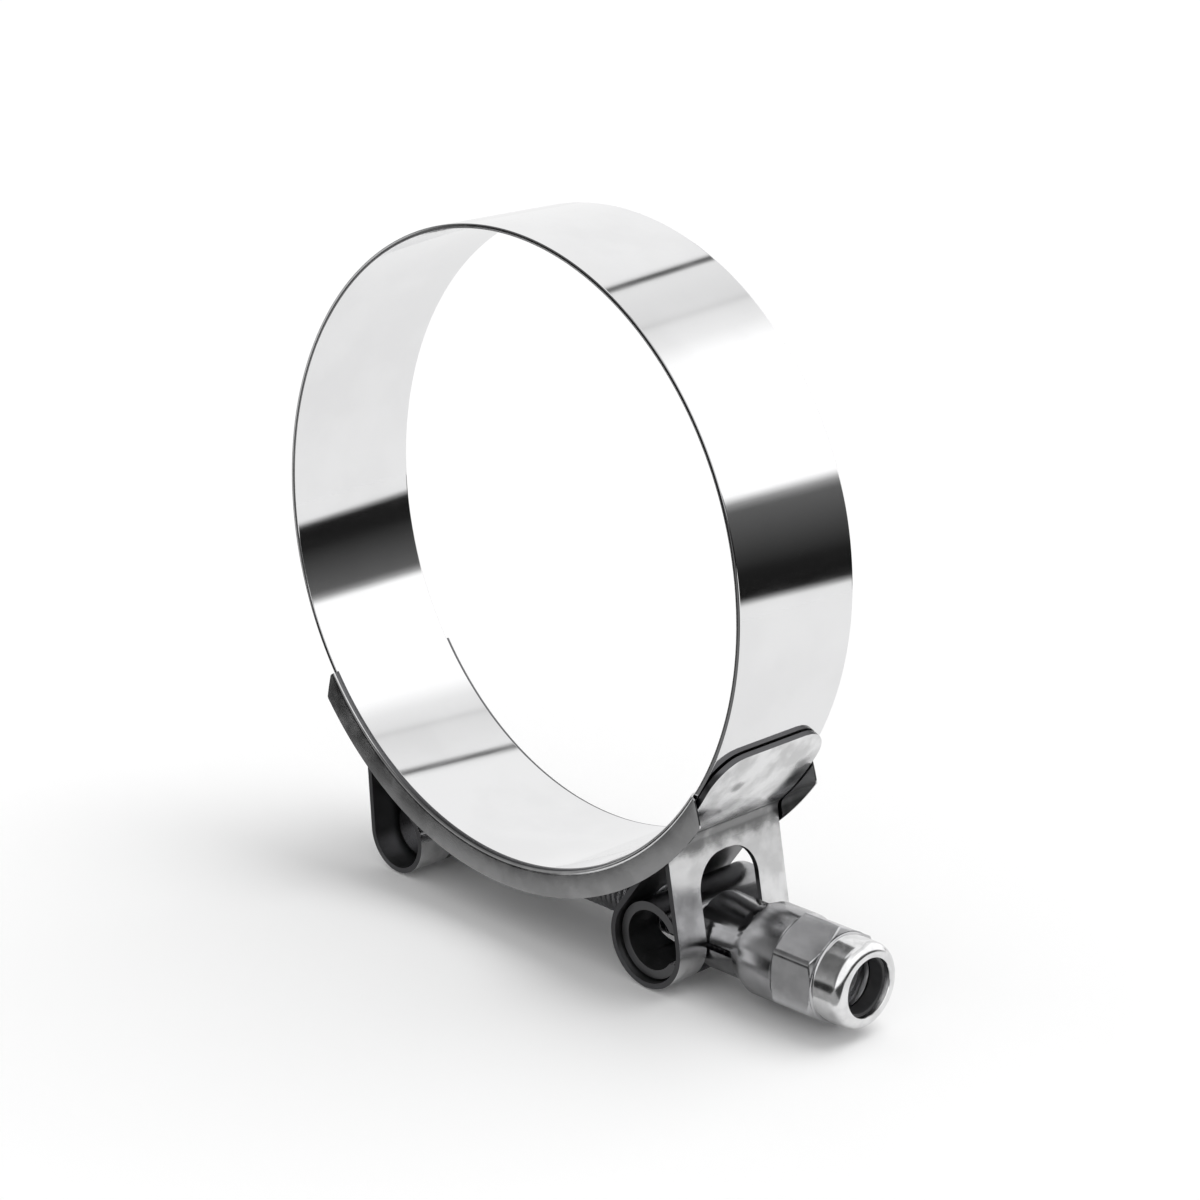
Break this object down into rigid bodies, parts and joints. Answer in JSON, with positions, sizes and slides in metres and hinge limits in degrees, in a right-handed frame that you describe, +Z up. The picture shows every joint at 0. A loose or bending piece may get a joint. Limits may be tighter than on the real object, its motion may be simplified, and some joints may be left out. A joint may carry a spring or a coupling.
{
  "type": "t bolt clamp",
  "caption": "Open T bolt hose clamp: a polished steel band with a flanged bridge, closed by a cross-headed bolt held in folded loops, a trunnion and a lock nut.",
  "frame": {"origin": "centre of the ring, on its axis and in the middle of the band's width", "axes": "+Y along the ring's axis, away from the side seen first; +Z up as the clamp stands on its two loops; +X towards the nut"},
  "size_m": [0.0929, 0.0202, 0.0884],
  "materials": {
    "band": "mirror polished stainless strip",
    "bridge": "polished thin stainless strip",
    "t_head_loop": "polished stainless strip",
    "nut_loop": "polished stainless strip with two spot weld marks",
    "t_bolt": "bright zinc plated steel",
    "trunnion": "bright rolled steel",
    "lock_nut": "bright plated steel",
    "nylon_insert": "dark grey nylon"
  },
  "bodies": {
    "clamp_band": {"band": "band", "bridge": "bridge", "t_head_loop": "t_head_loop"},
    "nut_side_end": {"nut_loop": "nut_loop"},
    "trunnion_body": {"trunnion": "trunnion"},
    "bolt_body": {"t_bolt": "t_bolt"},
    "nut_body": {"lock_nut": "lock_nut", "nylon_insert": "nylon_insert"}
  },
  "joints": [
    {"name": "ring_close", "type": "hinge", "parent": "clamp_band", "child": "nut_side_end", "pos_m": [0, 0, 0], "axis": [0, 1, 0], "range_deg": [0, 20.05]},
    {"name": "trunnion_pivot", "type": "hinge", "parent": "nut_side_end", "child": "trunnion_body", "pos_m": [0.0258, 0, -0.04235], "axis": [0, 1, 0], "range_deg": [-8.84, 0]},
    {"name": "nut_turn", "type": "hinge", "parent": "trunnion_body", "child": "nut_body", "pos_m": [0.0258, 0, -0.04235], "axis": [-0.9998, 0, -0.0185], "range_deg": [0, 6119]},
    {"name": "bolt_swing", "type": "hinge", "parent": "clamp_band", "child": "bolt_body", "pos_m": [-0.0201, 0, -0.0432], "axis": [0, 1, 0], "range_deg": [0, 11.25]}
  ],
  "couplings": [
    {"joint": "ring_close", "follows": "nut_turn", "ratio": 0.0032683},
    {"joint": "bolt_swing", "follows": "nut_turn", "ratio": 0.0018311},
    {"joint": "trunnion_pivot", "follows": "nut_turn", "ratio": -0.0014372}
  ]
}
